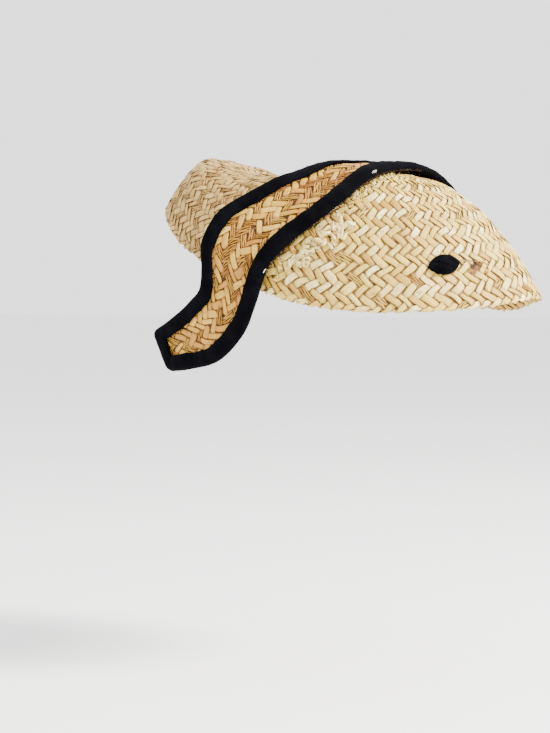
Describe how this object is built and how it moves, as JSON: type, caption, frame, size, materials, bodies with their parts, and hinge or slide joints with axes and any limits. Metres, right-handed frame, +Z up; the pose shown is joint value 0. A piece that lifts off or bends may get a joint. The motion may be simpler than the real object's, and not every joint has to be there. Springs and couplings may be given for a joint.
{
  "type": "cocktail hat",
  "caption": "Small woven straw cocktail hat: rear crown, raised front peak and a diagonal straw sash whose stiff tail hangs at the left temple, edged in dark velvet.",
  "frame": {"origin": "inside of the crown's top, where the wearer's head touches it", "axes": "+Z up, the wearer faces -Y, the wearer's left is +X"},
  "size_m": [0.158, 0.21, 0.1141],
  "materials": {
    "crown_straw": "natural woven straw, herringbone",
    "peak_straw": "natural woven straw, fine and greyed",
    "sash_straw": "toasted woven straw",
    "binding_velvet": "matte black velvet",
    "tab_velvet": "matte black velvet"
  },
  "bodies": {
    "root": {"crown": "crown_straw", "front_peak": "peak_straw", "sash": "sash_straw", "sash_binding": "binding_velvet", "velvet_tab": "tab_velvet"}
  },
  "joints": []
}
